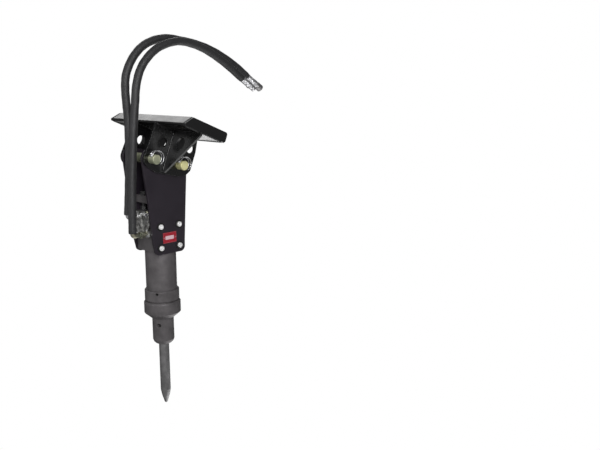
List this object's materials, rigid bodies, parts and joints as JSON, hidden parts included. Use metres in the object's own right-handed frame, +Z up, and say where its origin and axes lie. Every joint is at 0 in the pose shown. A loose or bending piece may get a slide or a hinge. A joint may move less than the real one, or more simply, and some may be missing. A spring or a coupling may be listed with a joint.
{
  "type": "hydraulic breaker hammer",
  "caption": "Hydraulic breaker hammer with a moil point chisel, pinned under a compact loader's attachment plate, with two sleeved hydraulic hoses to quick couplers.",
  "frame": {"origin": "middle of the attachment plate's upper face, where it seats on the loader's plate", "axes": "+Z is up along the hammer's axis, away from the chisel's point; +Y runs back to the loader; +X runs along the attachment plate towards the side the lock pins are on. The plate's face is tilted 22 degrees, so its normal lies between +Z and +Y."},
  "size_m": [0.6, 0.9102, 1.8465],
  "materials": {
    "bracket_paint": "gloss black paint",
    "plate_paint": "satin charcoal paint",
    "body_paint": "phosphated dark grey",
    "tool_steel": "forged and ground",
    "zinc_plate": "yellow zinc plate",
    "bright_steel": "bright plate",
    "valve_metal": "machined",
    "hose_rubber": "matte sleeve",
    "seal_rubber": "matte",
    "badge_red": "gloss",
    "bush_bronze": "machined bronze"
  },
  "bodies": {
    "breaker": {"mount_plate": "bracket_paint", "hook_lip": "bracket_paint", "end_plate_left": "bracket_paint", "end_plate_right": "bracket_paint", "rear_flange": "bracket_paint", "cheek_left": "bracket_paint", "cheek_right": "bracket_paint", "gusset_left": "bracket_paint", "gusset_right": "bracket_paint", "front_pin": "zinc_plate", "rear_pin": "zinc_plate", "front_lock_pin": "bright_steel", "rear_lock_pin": "bright_steel", "side_plate_left": "plate_paint", "side_plate_right": "plate_paint", "side_plate_web": "plate_paint", "side_plate_bolts": "bright_steel", "bolt_washers": "plate_paint", "badge_plate": "badge_red", "cylinder": "body_paint", "back_head": "body_paint", "charging_valve": "tool_steel", "tie_bolts": "plate_paint", "tie_nuts": "plate_paint", "seal_carrier": "tool_steel", "upper_seals": "seal_rubber", "lower_seals": "seal_rubber", "valve_body": "valve_metal", "valve_plugs": "zinc_plate", "valve_bolts": "bright_steel", "return_adapter": "zinc_plate", "pressure_adapter": "bright_steel", "return_elbow": "zinc_plate", "pressure_elbow": "bright_steel", "return_hose": "hose_rubber", "pressure_hose": "hose_rubber", "return_ferrule": "bright_steel", "pressure_ferrule": "bright_steel", "return_coupler": "bright_steel", "pressure_coupler": "bright_steel", "upper_ring": "body_paint", "ring_lock_screw": "tool_steel", "front_collar": "body_paint", "front_head": "body_paint", "lower_bush": "bush_bronze", "upper_bush": "bush_bronze", "thrust_ring": "tool_steel", "retainer_pin": "tool_steel", "retainer_plugs": "seal_rubber", "dust_seal": "seal_rubber"},
    "tool": {"chisel": "tool_steel"},
    "hammer_piston": {"piston": "tool_steel"},
    "spool": {"valve_spool": "tool_steel"},
    "front_wire": {"front_lock_wire": "bright_steel"},
    "rear_wire": {"rear_lock_wire": "bright_steel"},
    "sleeve": {"coupler_sleeve": "bright_steel"}
  },
  "joints": [
    {"name": "chisel_slide", "type": "slide", "parent": "breaker", "child": "tool", "axis": [0, 0, 1], "range_m": [0, 0.04]},
    {"name": "piston_slide", "type": "slide", "parent": "breaker", "child": "hammer_piston", "axis": [0, 0, 1], "range_m": [0, 0.06]},
    {"name": "spool_slide", "type": "slide", "parent": "breaker", "child": "spool", "axis": [0, 0, 1], "range_m": [0, 0.01]},
    {"name": "front_wire_hinge", "type": "hinge", "parent": "breaker", "child": "front_wire", "pos_m": [0.124, -0.17643, -0.10664], "axis": [1, 0, 0], "range_deg": [0, 120]},
    {"name": "rear_wire_hinge", "type": "hinge", "parent": "breaker", "child": "rear_wire", "pos_m": [0.124, -0.01929, -0.14748], "axis": [1, 0, 0], "range_deg": [0, 85]},
    {"name": "sleeve_slide", "type": "slide", "parent": "breaker", "child": "sleeve", "axis": [0, -0.8335, 0.5525], "range_m": [0, 0.006], "stiffness_N_per_m": 800, "springref_m": -0.008}
  ]
}
